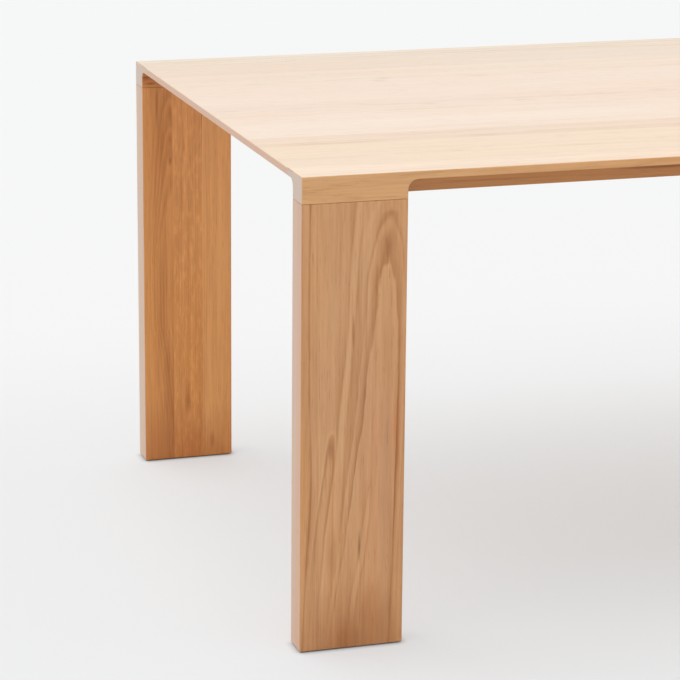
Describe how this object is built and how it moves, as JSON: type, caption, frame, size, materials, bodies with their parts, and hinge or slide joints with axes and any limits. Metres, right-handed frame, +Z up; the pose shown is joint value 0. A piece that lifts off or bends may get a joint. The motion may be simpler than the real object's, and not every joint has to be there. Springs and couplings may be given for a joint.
{
  "type": "parsons dining table",
  "caption": "Long dining table with plank legs flush with the sides and ends, and a top undercut to a thin lip that swells into a rounded ear above each leg.",
  "frame": {"origin": "on the floor, under the middle of the table", "axes": "+X along the table, +Y from the front side to the back side, +Z up"},
  "size_m": [2.13, 1.06, 0.75],
  "materials": {
    "top_wood": "pale hardwood, straight to cathedral grain along the table, clear matt lacquer",
    "rail_wood": "pale hardwood, grain along the table, clear matt lacquer",
    "leg_board_wood": "flat-sawn pale hardwood, grain upright, clear matt lacquer",
    "leg_stave_wood": "pale hardwood staves, grain upright, clear matt lacquer",
    "under_wood": "planed hardwood, thin clear lacquer",
    "zinc_steel": "bright zinc plate",
    "felt": "dense dark brown wool felt"
  },
  "bodies": {
    "root": {"side_rail_front": "rail_wood", "side_rail_back": "rail_wood", "top_board_1": "top_wood", "top_board_2": "top_wood", "top_board_3": "top_wood", "top_board_4": "top_wood", "top_board_5": "top_wood", "top_board_6": "top_wood", "top_board_7": "top_wood", "top_board_8": "top_wood", "batten_left": "under_wood", "batten_middle": "under_wood", "batten_right": "under_wood", "end_rail_left": "under_wood", "end_rail_right": "under_wood", "leg_face_board_front_left": "leg_board_wood", "leg_face_board_front_right": "leg_board_wood", "leg_face_board_back_left": "leg_board_wood", "leg_face_board_back_right": "leg_board_wood", "leg_stave_1_front_left": "leg_stave_wood", "leg_stave_1_front_right": "leg_stave_wood", "leg_stave_1_back_left": "leg_stave_wood", "leg_stave_1_back_right": "leg_stave_wood", "leg_stave_2_front_left": "leg_stave_wood", "leg_stave_2_front_right": "leg_stave_wood", "leg_stave_2_back_left": "leg_stave_wood", "leg_stave_2_back_right": "leg_stave_wood", "leg_stave_3_front_left": "leg_stave_wood", "leg_stave_3_front_right": "leg_stave_wood", "leg_stave_3_back_left": "leg_stave_wood", "leg_stave_3_back_right": "leg_stave_wood", "foot_pad_front_left": "felt", "foot_pad_front_right": "felt", "foot_pad_back_left": "felt", "foot_pad_back_right": "felt", "rail_bolts": "zinc_steel", "threaded_inserts": "zinc_steel"}
  },
  "joints": []
}
